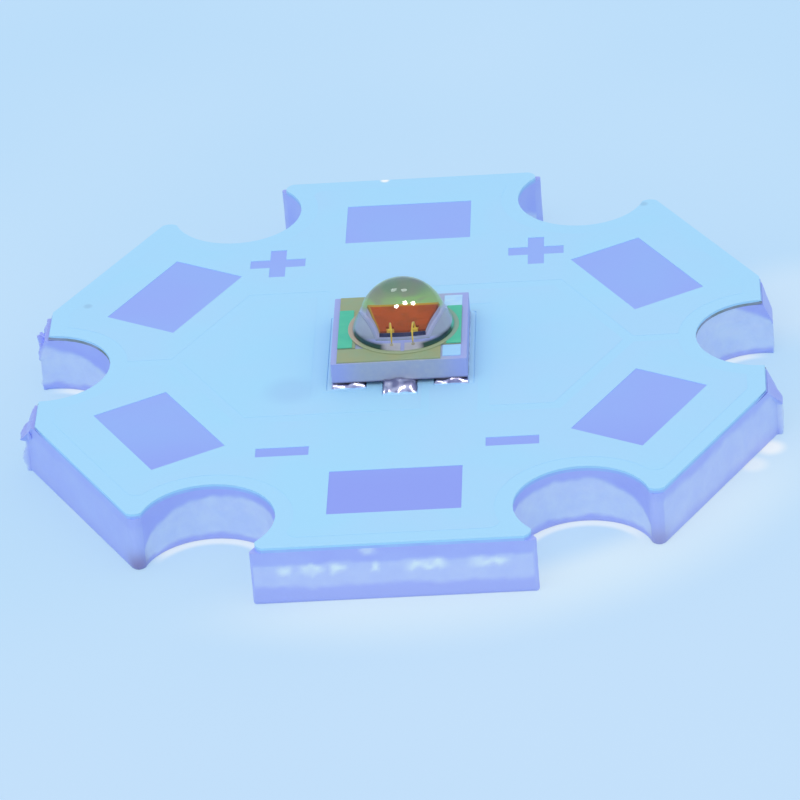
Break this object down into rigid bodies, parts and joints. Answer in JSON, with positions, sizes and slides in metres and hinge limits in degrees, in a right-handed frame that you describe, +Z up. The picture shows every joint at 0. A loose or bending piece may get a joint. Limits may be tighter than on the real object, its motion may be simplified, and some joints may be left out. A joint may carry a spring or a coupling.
{
  "type": "star board power led",
  "caption": "Small six-armed star-shaped metal-core circuit board with tinned wire pads, carrying a square ceramic power LED under a clear dome, as a light source for a heat sink.",
  "frame": {"origin": "centre of the board's underside, which is also the bottom centre of the bounding box", "axes": "+Z up through the dome, +Y to the arm between the plus marks, +X to the right when the minus marks are nearest"},
  "size_m": [0.019, 0.0188, 0.0036],
  "materials": {
    "aluminium": "punched edges, plain underside",
    "dielectric": "matt",
    "copper": "covered",
    "solder_mask": "satin",
    "tin": "dull tin",
    "solder": "bright",
    "contact_metal": "plated",
    "ceramic": "matt",
    "plating": "dull plating",
    "green_coat": "satin",
    "pale_mark": "matt",
    "die_attach": "plated",
    "chip": "smooth",
    "conversion": "matt",
    "bond_wire": "bright",
    "lens": "clear"
  },
  "bodies": {
    "root": {"aluminium_base": "aluminium", "dielectric_layer": "dielectric", "positive_copper": "copper", "negative_copper": "copper", "thermal_copper": "copper", "solder_mask": "solder_mask", "positive_pad_left": "tin", "positive_pad_back": "tin", "positive_pad_right": "tin", "negative_pad_left": "tin", "negative_pad_front": "tin", "negative_pad_right": "tin", "plus_marks": "tin", "minus_marks": "tin", "anode_solder": "solder", "cathode_solder": "solder", "thermal_solder": "solder", "anode_contact": "contact_metal", "cathode_contact": "contact_metal", "thermal_contact": "contact_metal", "anode_vias": "contact_metal", "cathode_vias": "contact_metal", "ceramic_substrate": "ceramic", "anode_plate": "plating", "cathode_plate": "plating", "via_coats": "green_coat", "corner_marks": "pale_mark", "die_attach": "die_attach", "led_chip": "chip", "conversion_layer": "conversion", "bond_wire_left": "bond_wire", "bond_wire_right": "bond_wire", "lens_dome": "lens"}
  },
  "joints": []
}
